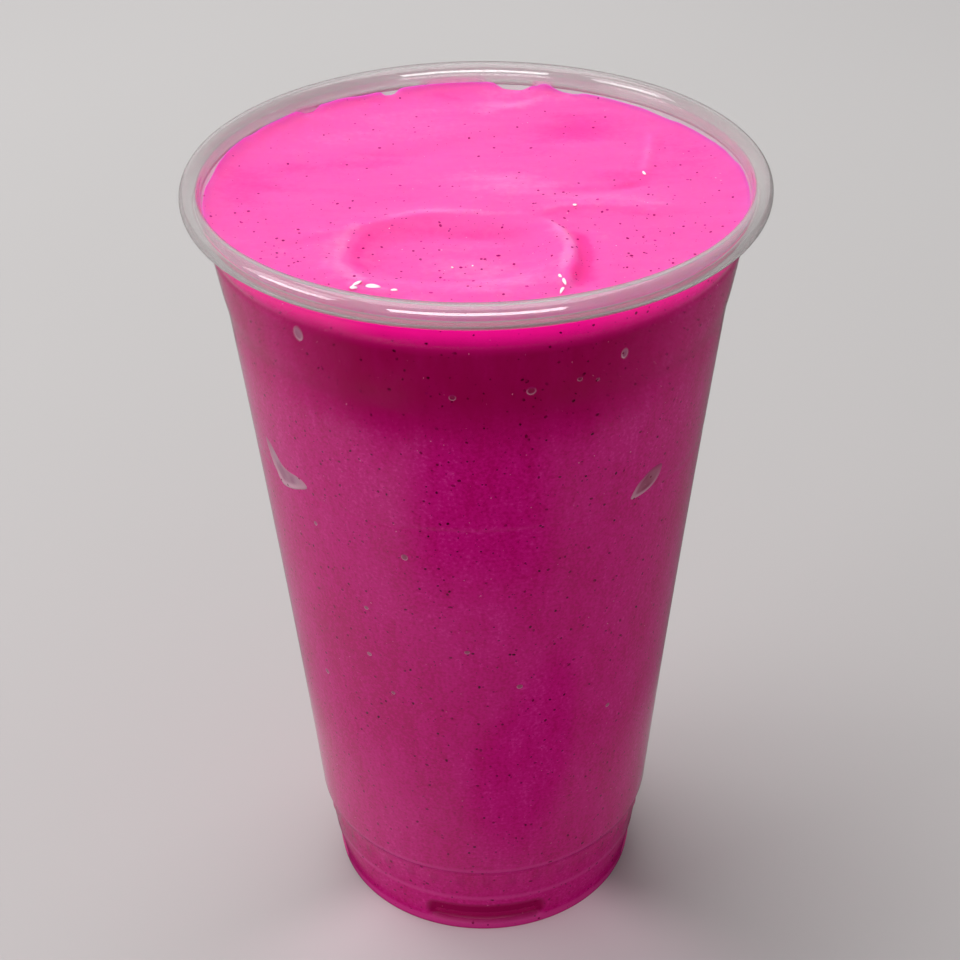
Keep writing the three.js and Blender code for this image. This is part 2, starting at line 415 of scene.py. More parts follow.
# The floor as gloss mirrors it. It is dark ahead of the cup, as a share of straight ahead and a
# distance from the cup's middle, and in one patch. It is lit in a ring round the foot and on the left.
AHEAD = (0.45, 0.80)
STRAIGHT_AHEAD = (0.72, 0.97)
DARK_NEAR = (0.102, 0.134)
DARK_FAR = (0.150, 0.172)
PATCH_MIDDLE = (0.030, -0.066)
PATCH_HALF = (0.040, 0.019)
LIT_LEFT = (-0.10, 0.05)
LIT_RING = (0.0355, 0.040), (0.052, 0.078)
UNDER_FOOT = (0.0308, 0.0328)
NEAR_GLOW_REACH = (0.030, 0.080)
FAR_GLOW_REACH = (0.5, 3.0)

# How much of that mirror image is kept, and how much the dark zones take away
KEPT = 0.3
KEPT_LEFT = 0.32
KEPT_RING = 0.3
KEPT_UNDER_FOOT = 0.12
DARKENED = 0.97
PATCH_DARKENED = 0.75


def smooth(value):
    """Zero to one with soft ends."""
    t = np.clip(value, 0, 1)
    return t * t * (3 - 2 * t)


def rotated(x, y, degrees):
    """A flat place turned about the origin."""
    cos, sin = math.cos(math.radians(degrees)), math.sin(math.radians(degrees))
    return x * cos - y * sin, x * sin + y * cos


def bump(value, middle, half):
    """A soft hill of height one."""
    return np.exp(-(((value - middle) / half) ** 2))


def waves(rows, x, y):
    """Sum of waves, each given as height, turn rate along x and y, and start."""
    total = np.zeros(x.shape)
    for height, turn_x, turn_y, start in rows:
        total = total + height * np.sin(turn_x * x + turn_y * y + start)
    return total


# Shape of the cup

def wall_radius(z):
    """Outer radius of the formed wall at a height."""
    up = z - SHOULDER
    foot = FOOT_RADIUS + FOOT_TAPER * z
    main = SHOULDER_RADIUS + WALL_TAPER * up + WALL_BOW * up * up
    band = BAND_RADIUS + BAND_TAPER * (z - BAND_STEP_HIGH)
    low, high = BAND_STEP_LOW - BAND_STEP_SOFT, BAND_STEP_HIGH + BAND_STEP_SOFT
    radius = foot + (main - foot) * smooth((z - FOOT_TOP) / (SHOULDER - FOOT_TOP))
    radius = radius + (band - radius) * smooth((z - low) / (high - low))
    for height, depth, half in MOULD_LINES:
        radius = radius - depth * bump(z, height, half)
    return radius


def wall_heights():
    """Heights for the rings of the wall, close together where its form changes."""
    return np.concatenate([
        np.linspace(FOOT_FILLET + 0.4, SHOULDER + 0.3, 28),
        np.linspace(24, 98, 11),
        np.linspace(100.6, 103.6, 7),
        np.linspace(108, 124, 3),
        np.linspace(BAND_STEP_LOW - BAND_STEP_SOFT, BAND_STEP_HIGH + BAND_STEP_SOFT, 11),
        np.linspace(131, 136.5, 3),
        np.linspace(137.1, 139.9, 9),
        np.linspace(141, BAND_TOP, 3),
    ])


def base_outline():
    """Underside of the base from its middle to the top of the foot fillet."""
    inner = np.concatenate([[2.0, 7.0, 12.0, 16.0, 19.0], np.linspace(20.6, 25.4, 10), [26.2, 27.1]])
    start, end = PANEL_SLOPE
    rise = PANEL_HEIGHT * (1 - smooth((inner - start) / (end - start)))
    angles = np.radians(np.linspace(-90, 0, 8))
    middle = FOOT_RADIUS + FOOT_TAPER * FOOT_FILLET - FOOT_FILLET
    fillet = FOOT_FILLET * np.stack([np.cos(angles), 1 + np.sin(angles)], 1) + (middle, 0)
    return np.concatenate([np.stack([inner, rise], 1), fillet])


def wall_outline():
    z = wall_heights()
    return np.concatenate([base_outline(), np.stack([wall_radius(z), z], 1)])


def curl_outline():
    """The sheet's face inside the roll of the rim."""
    angles = np.linspace(CURL_START, CURL_END, CURL_STEPS)
    x = RIM_RADIUS - CURL_HALF_WIDTH + (CURL_HALF_WIDTH - WALL) * np.cos(angles)
    z = CUP_HEIGHT - CURL_HALF_HEIGHT + (CURL_HALF_HEIGHT - WALL) * np.sin(angles)
    return np.stack([x, z], 1)


def offset(outline, distance):
    """The outline moved inwards, square to itself."""
    step = np.diff(outline, axis=0)
    step = step / np.linalg.norm(step, axis=1)[:, None]
    into = np.concatenate([step[:1], step])
    out = np.concatenate([step, step[-1:]])
    along = into + out
    along = along / np.linalg.norm(along, axis=1)[:, None]
    reach = distance / np.sum(along * into, axis=1)
    return outline + np.stack([-along[:, 1] * reach, along[:, 0] * reach], 1)


def from_recess(angle):
    """Angle between a place and the middle of the nearest recess."""
    pitch = 2 * math.pi / RECESS_COUNT
    return np.abs((angle + pitch / 2) % pitch - pitch / 2)


def foot_relief(angle, z):
    """How far the foot's wall is pushed in, at an angle round the cup and a height."""
    lug = np.clip(np.cos(LUG_COUNT * angle), 0, 1) ** 2
    ribs = -LUG_HEIGHT * lug * bump(z, LUG_MIDDLE, LUG_HALF) ** 2
    ends = smooth((RECESS_HALF_ANGLE - from_recess(angle)) / RECESS_END)
    ledge = smooth((z - RECESS_LOW) / RECESS_LEDGE)
    lean = np.clip((RECESS_HIGH - z) / (RECESS_HIGH - RECESS_LOW - RECESS_LEDGE), 0, 1)
    return ribs + RECESS_DEPTH * ends * ledge * lean


def foot_shade(points):
    """Painted shade on the drink behind the foot's recesses and lugs."""
    angle = np.arctan2(points[:, 0], -points[:, 1])
    z = points[:, 2]
    outside = np.hypot(points[:, 0], points[:, 1]) > RELIEF_START
    middle, half = (RECESS_LOW + RECESS_HIGH) / 2, (RECESS_HIGH - RECESS_LOW) / 2
    past_end = (from_recess(angle) - RECESS_HALF_ANGLE) * FOOT_RADIUS + RECESS_CORNER
    past_edge = np.abs(z - middle) - half + RECESS_CORNER
    corner = np.hypot(np.maximum(past_end, 0), np.maximum(past_edge, 0)) - RECESS_CORNER
    face = smooth(RECESS_SHADE_SHIFT - corner / RECESS_SHADE_SOFT)
    lug = np.clip(np.cos(LUG_COUNT * angle), 0, 1) * bump(z, LUG_MIDDLE, LUG_SHADE_HALF)
    return outside * np.maximum(face, LUG_SHADE * lug)


def round_axis(radius, angle, z):
    """Points at a radius and an angle from the front, in radians."""
    return np.stack([radius * np.sin(angle), -radius * np.cos(angle), z], -1)


def turned(outline, steps):
    """Rings of points round the axis, with the foot's relief pressed into the wall."""
    angle = np.linspace(0, 2 * math.pi, steps, endpoint=False)[None, :]
    radius = outline[:, :1] - foot_relief(angle, outline[:, 1:]) * (outline[:, :1] > RELIEF_START)
    height = np.repeat(outline[:, 1:], steps, axis=1)
    return round_axis(radius, angle, height)


# Shape of the drink

EDGE_RADIUS = wall_radius(LEVEL) - INSET


def curve_through(points, steps):
    """Even steps along a smooth curve through the points."""
    points = np.array(points, float)
    last = len(points) - 1
    place = np.linspace(0, last, steps + 1)
    i = np.minimum(place.astype(int), last - 1)
    t = (place - i)[:, None]
    p1, p2 = points[i], points[i + 1]
    v1 = (p2 - points[np.maximum(i - 1, 0)]) / 2
    v2 = (points[np.minimum(i + 2, last)] - p1) / 2
    return (2 * p1 - 2 * p2 + v1 + v2) * t**3 + (3 * p2 - 3 * p1 - 2 * v1 - v2) * t**2 + v1 * t + p1


def swirl_height(path, height, left, right, x, y):
    """Height that one swirl adds: highest on its path, nothing at its two ends."""
    run = curve_through(path, SWIRL_STEPS)
    nearest = np.full(x.shape, np.inf)
    side = np.zeros(x.shape)
    place = np.zeros(x.shape)
    for i in range(SWIRL_STEPS):
        start = run[i]
        along = run[i + 1] - start
        dx, dy = x - start[0], y - start[1]
        t = np.clip((dx * along[0] + dy * along[1]) / (along @ along), 0, 1)
        gap = np.hypot(dx - t * along[0], dy - t * along[1])
        closer = gap < nearest
        nearest = np.where(closer, gap, nearest)
        side = np.where(closer, along[0] * dy - along[1] * dx, side)
        place = np.where(closer, (i + t) / SWIRL_STEPS, place)
    width = np.where(side > 0, left, right)
    ends = smooth(place / SWIRL_END) * smooth((1 - place) / SWIRL_END)
    return height * ends * np.exp(-((nearest / width) ** 2))


def hollow_depth(x, y):
    across = np.abs((x - HOLLOW_MIDDLE[0]) / HOLLOW_HALF[0]) ** HOLLOW_POWER
    deep = np.abs((y - HOLLOW_MIDDLE[1]) / HOLLOW_HALF[1]) ** HOLLOW_POWER
    reach = (across + deep) ** (1 / HOLLOW_POWER)
    towards_front = (HOLLOW_MIDDLE[1] - HOLLOW_FRONT_START - y) / HOLLOW_FRONT_REACH
    lip = HOLLOW_LIP + HOLLOW_FRONT_LIP * smooth(towards_front)
    return HOLLOW_DEPTH * smooth((1 - reach) / lip)


def streaks(x, y):
    """Low uneven streaks, long across the cup and narrow along it."""
    draw = np.random.default_rng(STREAK_SEED)
    across = np.exp(draw.uniform(*np.log(STREAK_RATES), STREAKS))
    along = across * draw.uniform(*STREAK_LEAN, STREAKS)
    start = draw.uniform(0, 2 * math.pi, STREAKS)
    bend = draw.uniform(*STREAK_BEND, STREAKS)
    z = np.zeros(x.shape)
    for i in range(STREAKS):
        swing = bend[i] * np.sin(STREAK_SWING * x + start[i])
        z = z + np.sin(along[i] * x + across[i] * y + swing + start[i]) / (1 + across[i])
    return STREAK_HEIGHT * z


def along_edge(angle, keys):
    """A value that goes smoothly from key to key all the way round the cup."""
    angles = np.array([key[0] for key in keys] + [keys[0][0] + 360])
    values = np.array([key[1] for key in keys] + [keys[0][1]])
    turn = (angle - angles[0]) % 360 + angles[0]
    i = np.clip(np.searchsorted(angles, turn, side="right") - 1, 0, len(keys) - 1)
    share = smooth((turn - angles[i]) / (angles[i + 1] - angles[i]))
    return values[i] + (values[i + 1] - values[i]) * share


def form(x, y):
    """Height of the drink's surface away from the wall."""
    z = LEVEL - hollow_depth(x, y) + streaks(x, y)
    for swirl in SWIRLS.values():
        z = z + swirl_height(*swirl, x, y)
    return z + waves(WAVES, x, y)


def surface(x, y):
    """Height of the drink's surface, with its climb, swell and notches at the wall."""
    angle = np.degrees(np.arctan2(x, -y))
    from_wall = np.hypot(x, y) - EDGE_RADIUS
    notch = np.zeros(x.shape)
    for middle, depth, half in NOTCHES:
        turn = (angle - middle + 180) % 360 - 180
        notch = notch + depth * np.exp(-((turn / half) ** 4))
    climb = CLIMB * np.exp(from_wall / CLIMB_REACH)
    swell = along_edge(angle, EDGE_RISE) * np.exp(from_wall / EDGE_REACH)
    return form(x, y) + climb + swell - notch * np.exp(from_wall / NOTCH_REACH)


def crest(x, y):
    """How far a place stands above the surface round it: one on a crest, minus one in a trough."""
    level = np.zeros(x.shape)
    turns = np.linspace(0, 2 * math.pi, 8, endpoint=False)
    for turn in turns:
        level = level + form(x + CREST_REACH * math.cos(turn), y + CREST_REACH * math.sin(turn))
    return np.clip((form(x, y) - level / len(turns)) / CREST_FULL, -1, 1)


# Meshes

def add_object(name, data):
    item = bpy.data.objects.new(name, data)
    bpy.context.scene.collection.objects.link(item)
    return item


def make_object(name, points, faces, finish, soft=True):
    """A piece at the origin, with its place in its mesh. Points are in millimetres."""
    mesh = bpy.data.meshes.new(name)
    mesh.from_pydata((np.asarray(points) * MM).tolist(), [], faces)
    mesh.update()
    mesh.polygons.foreach_set("use_smooth", [soft] * len(mesh.polygons))
    mesh.materials.append(finish)
    return add_object(name, mesh)


def skin(rings, first, last):
    """Points and faces of a skin over closed rings, with a pole before the first and after the last."""
    count, steps = rings.shape[:2]
    index = np.arange(count * steps).reshape(count, steps)
    after = np.roll(index, -1, axis=1)
    faces = np.stack([index[:-1], after[:-1], after[1:], index[1:]], 2).reshape(-1, 4).tolist()
    here = count * steps
    faces += [[here, a, b] for a, b in zip(after[0].tolist(), index[0].tolist())]
    faces += [[here + 1, a, b] for a, b in zip(index[-1].tolist(), after[-1].tolist())]
    return np.concatenate([rings.reshape(-1, 3), [first, last]]), faces


def joined(shells):
    """Points and faces of many shells as one."""
    all_points, all_faces = [], []
    count = 0
    for points, faces in shells:
        all_points.append(points)
        all_faces += [[count + corner for corner in face] for face in faces]
        count += len(points)
    return np.concatenate(all_points), all_faces


def make_outward(piece):
    """Turn every face of closed shells outwards."""
    shape = bmesh.new()
    shape.from_mesh(piece.data)
    bmesh.ops.recalc_face_normals(shape, faces=shape.faces)
    shape.to_mesh(piece.data)
    shape.free()


def marbling(x, y):
    """How much paler or deeper the drink is at a place on its surface: its marbling, and the painted
    light and shade in bands round the hollow.
    """
    warp_x, warp_y = waves(WARP_X, x, y), waves(WARP_Y, x, y)
    tone = np.zeros(x.shape)
    for middle_x, middle_y, half_x, half_y, turn, amount in MARBLING:
        along, across = rotated(x + warp_x - middle_x, y + warp_y - middle_y, -turn)
        tone = tone + amount * np.exp(-((along / half_x) ** 2 + (across / half_y) ** 2))
    for band in LIGHT_AND_SHADE_BANDS:
        tone = tone + swirl_height(*band, x + WARP_ON_BANDS * warp_x, y + WARP_ON_BANDS * warp_y)
    return tone


def set_values(piece, **values):
    """Numbers for each point, that the finish reads by their names."""
    for name, numbers in values.items():
        attribute = piece.data.attributes.new(name, "FLOAT", "POINT")
        attribute.data.foreach_set("value", np.asarray(numbers, np.float32))


# Nodes

class Value:
    """A node's output, so that shader maths reads as sums."""

    def __init__(self, nodes, socket):
        self.nodes = nodes
        self.socket = socket

    def maths(self, operation, *others, turned_round=False):
        values = [self, *others]
        if turned_round:
            values.reverse()
        return self.nodes.value("ShaderNodeMath", {"operation": operation}, dict(enumerate(values)))

    def __add__(self, other):
        return self.maths("ADD", other)

    def __sub__(self, other):
        return self.maths("SUBTRACT", other)

    def __mul__(self, other):
        return self.maths("MULTIPLY", other)

    def __truediv__(self, other):
        return self.maths("DIVIDE", other)

    def __rsub__(self, other):
        return self.maths("SUBTRACT", other, turned_round=True)

    __radd__ = __add__
    __rmul__ = __mul__

    def held(self):
        """Kept between zero and one."""
        return self.maths("MAXIMUM", 0.0).maths("MINIMUM", 1.0)

    def between(self, low, high):
        """Zero below low, one above high, with soft ends."""
        return self.nodes.value(
            "ShaderNodeMapRange", {"interpolation_type": "SMOOTHSTEP"}, {0: self, 1: low, 2: high}
        )

    def band(self, rise, fall):
        """Comes up over one range and goes down over the next."""
        return self.between(*rise) * (1 - self.between(*fall))


class Nodes:
    """Adds nodes to one tree."""

    def __init__(self, tree):
        self.tree = tree

    def add(self, kind, settings=None, inputs=None):
        node = self.tree.nodes.new(kind)
        for name, setting in (settings or {}).items():
            setattr(node, name, setting)
        for key, value in (inputs or {}).items():
            if isinstance(value, Value):
                self.tree.links.new(value.socket, node.inputs[key])
            else:
                node.inputs[key].default_value = value
        return node

    def value(self, kind, settings=None, inputs=None, output=0):
        return Value(self, self.add(kind, settings, inputs).outputs[output])

    def mix(self, amount, a, b):
        """Colour a, going over to colour b."""
        settings = {"data_type": "RGBA"}
        return self.value("ShaderNodeMix", settings, {0: amount, 6: a, 7: b}, output=2)

    def noise(self, place, scale, detail=2.0, roughness=0.5, distortion=0.0):
        inputs = {
            "Vector": place, "Scale": scale, "Detail": detail,
            "Roughness": roughness, "Distortion": distortion,
        }
        return self.value("ShaderNodeTexNoise", {}, inputs, output="Fac")

    def stretched(self, place, scale, turn=(0.0, 0.0, 0.0)):
        return self.value("ShaderNodeMapping", {}, {"Vector": place, "Scale": scale, "Rotation": turn})

    def place(self):
        return self.value("ShaderNodeTexCoord", output="Object")

    def attribute(self, name):
        return self.value("ShaderNodeAttribute", {"attribute_name": name}, output="Fac")

    def split(self, place):
        """The x, y and z of a place."""
        apart = self.add("ShaderNodeSeparateXYZ", {}, {"Vector": place})
        return [Value(self, apart.outputs[axis]) for axis in "XYZ"]

    def rays(self, *kinds):
        """For each kind of ray, one where the ray is of that kind."""
        path = self.add("ShaderNodeLightPath")
        return [Value(self, path.outputs[f"Is {kind} Ray"]) for kind in kinds]

    def blend(self, amount, a, b):
        """Shader a, going over to shader b."""
        return self.value("ShaderNodeMixShader", {}, {0: amount, 1: a, 2: b})


def new_finish(name):
    """An empty material and its node builder."""
    material = bpy.data.materials.new(name)
    material.use_nodes = True
    material.node_tree.nodes.clear()
    material.cycles.emission_sampling = "NONE"
    return material, Nodes(material.node_tree)


def finish_with(nodes, shader):
    nodes.add("ShaderNodeOutputMaterial", {}, {"Surface": shader})


def principled(nodes, inputs):
    return nodes.value("ShaderNodeBsdfPrincipled", {}, inputs)


def bumped(nodes, height, strength, distance):
    """A normal from a height. The distance is in millimetres."""
    inputs = {"Height": height, "Strength": strength, "Distance": distance * MM}
    return nodes.value("ShaderNodeBump", {}, inputs)


# Finishes

def top_finish():
    """The drink's open surface, frothy and streaked. Painted light makes its crests paler, and painted
    shade its troughs deeper.
    """
    material, n = new_finish("berry_top")
    place = n.place()
    broad = n.noise(n.stretched(place, (34, 90, 60), (0, 0, 0.16)), 1.0, 3.0, 0.5, 0.8)
    fine = n.noise(n.stretched(place, (160, 420, 200), (0, 0, 0.08)), 1.0, 3.0, 0.6, 0.5)
    froth = n.noise(place, 900.0, 2.0, 0.6)
    # The marbling value also holds painted light and shade in bands round the hollow.
    marbled_and_lit = n.attribute("marbling") * (0.45 + 0.5 * fine)
    # Painted light and shade: the crest value makes crests paler and troughs deeper.
    tone = broad * 0.9 + fine * 0.3 + froth * 0.5 - 0.85 + n.attribute("crest") * 0.3 + marbled_and_lit
    colour = n.mix(tone.between(-0.7, 0.0), TOP_DEEP, TOP_MIDDLE)
    colour = n.mix(tone.between(0.0, 0.7), colour, TOP_PALE)
    shader = principled(n, {
        "Base Color": colour,
        "Roughness": 0.55,
        "Subsurface Weight": 1.0,
        "Subsurface Radius": SCATTER,
        "Subsurface Scale": 1.0,
        "IOR": 1.25,
        "Normal": bumped(n, fine, 0.4, 0.12),
    })
    finish_with(n, shader)
    return material


def lump_finish():
    """A wet lump of the same drink, with a painted white glint on its top."""
    material, n = new_finish("wet_lump")
    # Painted glint: the wet value whitens each lump towards its top.
    colour = n.mix(n.attribute("wet"), TOP_PALE, LUMP_GLINT)
    finish_with(n, principled(n, {"Base Color": colour, "Roughness": 0.25, "IOR": 1.3}))
    return material


def side_finish():
    """The drink where it wets the wall: deep, almost without gloss of its own, with painted shade and
    highlights.
    A painted glow just under the rim stands in for daylight that enters the open top and leaves again
    there."""
    material, n = new_finish("berry_side")
    place = n.place()
    _, y, height = n.split(place)
    ahead = 0 - y
    clouds = n.noise(n.stretched(place, (24, 24, 18)), 1.0, 3.0, 0.5, 0.6)
    runs = n.noise(n.stretched(place, (300, 300, 80)), 1.0, 3.0, 0.65)
    grain = n.noise(place, 1700.0, 1.0, 0.6)
    tone = clouds * 1.3 + runs * 1.1 + grain * 1.7 - 2.05
    body = n.mix(tone.between(-0.45, 0.1), SIDE_DEEP, SIDE_PALE)
    body = n.mix(tone.between(0.1, 0.65), body, SIDE_FROTH)
    # Painted shade: a deeper band under the rim, fullest at the front.
    shade_fullness = SHADED_BAND_SIDES + (1 - SHADED_BAND_SIDES) * ahead.between(*SHADED_BAND_AHEAD)
    band_shade = height.between(*SHADED_BAND) * shade_fullness
    body = n.mix(band_shade * (1.2 - 0.5 * runs), body, PAINTED_BAND_SHADE)
    # Painted highlights: pale lines at the foot's groove and shoulder, and a pale strip at its bottom.
    for rise, fall, amount in PAINTED_HIGHLIGHT_LINES:
        body = n.mix(height.band(rise, fall) * amount, body, FOOT_HIGHLIGHT)
    # Painted shade behind the foot's recesses and lugs, in the same tone as the shade lines.
    shade = n.attribute("shade")
    # Painted shade lines at the moulded groove and the step under the rim.
    for rise, fall, amount in PAINTED_SHADE_LINES:
        shade = shade + height.band(rise, fall) * amount
    body = n.mix(shade.held(), body, PAINTED_SHADE_TONE)
    glow = n.mix(height.between(*GLOW_HEIGHT), BLACK, GLOW)
    shader = principled(n, {
        "Base Color": body,
        "Roughness": 0.5,
        "IOR": 1.08,
        "Emission Color": glow,
        "Emission Strength": 1.0,
    })
    finish_with(n, shader)
    return material


def plastic_finish():
    """Clear formed sheet, a little milky where it is rolled and at its cut edge. It mirrors less on the
    band under the rim, and light for what is behind it passes straight through."""
    material, n = new_finish("clear_plastic")
    place = n.place()
    _, y, height = n.split(place)
    waver = n.noise(place, 90.0, 0.0)
    clear = principled(n, {
        "Base Color": CLEAR,
        "Roughness": 0.045,
        "IOR": 1.57,
        "Transmission Weight": 1.0,
        "Normal": bumped(n, waver, 0.06, 0.5),
    })
    cloud = n.noise(place, 260.0, 0.0)
    milky = principled(n, {"Base Color": n.mix(cloud, *MILKY_TONES), "Roughness": 0.3})
    formed = n.blend(n.attribute("milk"), clear, milky)
    passing = n.value("ShaderNodeBsdfTransparent", {}, {"Color": CLEAR_PASSING})
    quiet = height.band(*QUIET_BAND) * (QUIET_FRONT - QUIET_EASE * y.between(*QUIET_SIDES))
    formed = n.blend(quiet, formed, passing)
    shadow, diffuse = n.rays("Shadow", "Diffuse")
    finish_with(n, n.blend(shadow.maths("MAXIMUM", diffuse), formed, passing))
    return material


def grain_finish(look):
    """A plain small grain in the drink, each one's tone set by where it lies, and lighter on top."""
    material, n = new_finish(look["finish"])
    tone = n.noise(n.place(), look["patches"], 1.0).between(0.3, 0.7)
    colour = n.mix(tone, look["dark"], look["pale"])
    on_top = 1 - n.attribute("seed_size").between(TOP_GRAIN_SIZE + 0.02, 0.99)
    colour = n.mix(on_top * (0.7 + 0.3 * tone), colour, look["on_top"])
    finish_with(n, principled(n, {"Base Color": colour, "Roughness": 0.5, "IOR": look["ior"]}))
    return material


def air_finish():
    """Air against the wall: a pale edge of painted light, brightest below, round a deeper middle."""
    material, n = new_finish("air_pocket")
    low, fill = n.attribute("low"), n.attribute("fill")
    patch = n.noise(n.place(), 300.0, 2.0).between(0.35, 0.65)
    middle = n.mix(fill, n.mix(patch, *AIR_DEEP_TONES), n.mix(patch, *AIR_PALE_TONES))
    # Painted light: the pale edge is brightest at the bottom.
    lit_edge = n.mix((low * 0.8 + fill * 0.4 - 0.12).held(), *AIR_EDGE_LIGHT_TONES)
    colour = n.mix(n.attribute("inward").between(0.16, 0.42), lit_edge, middle)
    finish_with(n, principled(n, {"Base Color": colour, "Roughness": 0.35, "IOR": 1.1}))
    return material


def smear_finish():
    """Thin pale film of drink, which fades away at its edges."""
    material, n = new_finish("pale_smear")
    cloud = n.noise(n.place(), 420.0, 3.0)
    cover = (n.attribute("cover") * (0.55 + cloud * 0.8)).held()
    finish_with(n, principled(n, {"Base Color": SMEAR_PALE, "Roughness": 0.35, "Alpha": cover}))
    return material


def floor_finish():
    """Plain pale tabletop. Its mirror image in gloss is dimmed, most of all ahead of the cup. It glows
    near the cup's front, for light that comes through the drink, and far off, for a pale horizon."""
    material, n = new_finish("pale_floor")
    place = n.place()
    x, y, _ = n.split(place)
    reach = (x * x + y * y).maths("SQRT")
    front = -1 * y / reach
    ahead = front.between(*AHEAD)
    near_zone = front.between(*STRAIGHT_AHEAD) * reach.between(*DARK_NEAR)
    dark = near_zone.maths("MAXIMUM", ahead * reach.between(*DARK_FAR))
    across = (x - PATCH_MIDDLE[0]) / PATCH_HALF[0]
    along = (y - PATCH_MIDDLE[1]) / PATCH_HALF[1]
    patch = 1 - (across * across + along * along).between(0.3, 1.6)
    left = 1 - x.between(*LIT_LEFT)
    kept = (KEPT + KEPT_LEFT * left) * (1 - DARKENED * dark) + KEPT_RING * reach.band(*LIT_RING)
    foot = KEPT_UNDER_FOOT + (1 - KEPT_UNDER_FOOT) * reach.between(*UNDER_FOOT)
    kept = kept * (1 - PATCH_DARKENED * patch) * foot
    glossy, reflected = n.rays("Glossy", "Reflection")
    mirrored = glossy * reflected
    seen = 1 - mirrored
    pale = n.mix(n.noise(place, 3.0, 1.0), *FLOOR_TONES)
    glow = n.mix(ahead * (1 - reach.between(*NEAR_GLOW_REACH)) * seen, BLACK, FLOOR_NEAR_GLOW)
    finish_with(n, principled(n, {
        "Base Color": n.mix(mirrored * (1 - kept), pale, FLOOR_DARK),
        "Roughness": 0.9,
        "Specular IOR Level": 0.0,
        "Emission Color": n.mix(reach.between(*FAR_GLOW_REACH) * seen, glow, FLOOR_FAR_GLOW),
        "Emission Strength": 1.0,
    }))
    return material


# Pieces

def place_piece(piece, slot, *nodes):
    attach(piece, BODY)
    if nodes:
        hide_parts(*nodes)


def make_cup(finish):
    wall, curl = wall_outline(), curl_outline()
    outer = np.concatenate([wall, curl])
    inner = offset(outer, WALL)[::-1]
    rings = turned(np.concatenate([outer, inner]), CUP_TURN)
    points, faces = skin(rings, (0, 0, PANEL_HEIGHT), (0, 0, PANEL_HEIGHT + WALL))
    piece = make_object("cup_shell", points, faces, finish)
    rising = MILK * smooth((wall[:, 1] - MILK_START) / MILK_REACH)
    milk = np.concatenate([rising, np.full(len(curl), MILK)])
    milk[-1] = CUT_MILK
    milk = np.repeat(np.concatenate([milk, milk[::-1]]), CUP_TURN)
    set_values(piece, milk=np.concatenate([milk, [0, 0]]))
    place_piece(piece, "clear_plastic", "cup")


def drink_rings():
    """Rings of the drink's skin: up the wall, up to its uneven edge, and over its open top."""
    side = offset(wall_outline(), INSET)
    low = turned(side[side[:, 1] < SIDE_ROWS_TOP], DRINK_TURN)
    angle = np.linspace(0, 2 * math.pi, DRINK_TURN, endpoint=False)
    contact = surface(EDGE_RADIUS * np.sin(angle), -EDGE_RADIUS * np.cos(angle))
    climb = np.linspace(0, 1, EDGE_ROWS + 1)[1:, None]
    start = low[-1, :, 2][None, :]
    z = start + (contact[None, :] - start) * climb
    radius = wall_radius(z) - INSET
    high = round_axis(radius, np.broadcast_to(angle, z.shape), z)
    step = np.linspace(0, 1, TOP_RINGS + 1)[1:-1, None]
    radius = radius[-1][None, :] * (1 - step * (0.3 + 0.7 * step))
    x, y = radius * np.sin(angle), -radius * np.cos(angle)
    return low, high, np.stack([x, y, surface(x, y)], 2)


def make_drink(side_look, top_look):
    """The drink, which reaches just into the wall so that no gap shows."""
    low, high, top = drink_rings()
    middle = surface(np.zeros(1), np.zeros(1))[0]
    points, faces = skin(np.concatenate([low, high, top]), (0, 0, PANEL_HEIGHT + INSET), (0, 0, middle))
    piece = make_object("smoothie_fill", points, faces, side_look)
    piece.data.materials.append(top_look)
    edge_row = len(low) + len(high) - 1
    under_pole = -2
    open_top = np.arange(len(points)) >= edge_row * DRINK_TURN
    open_top[under_pole] = False
    upward = [all(open_top[corner] for corner in face) for face in faces]
    piece.data.polygons.foreach_set("material_index", np.array(upward, np.int32))
    x, y, z = points.T
    top_share = TOP_SHARE + TOP_FRONT_SHARE * smooth((TOP_FRONT_START - y) / TOP_FRONT_REACH)
    wall_share = np.where(z < PANEL_HEIGHT + WALL, UNDER_SHARE, 1.0)
    # The crest and marbling values carry painted light and shade on the open top.
    set_values(
        piece, crest=np.where(open_top, crest(x, y), 0), marbling=np.where(open_top, marbling(x, y), 0),
        shade=foot_shade(points), seed_share=np.where(open_top, top_share, wall_share),
        seed_size=np.where(open_top, TOP_GRAIN_SIZE, 1.0),
    )
    place_piece(piece, "berry_smoothie", "smoothie")
    return piece


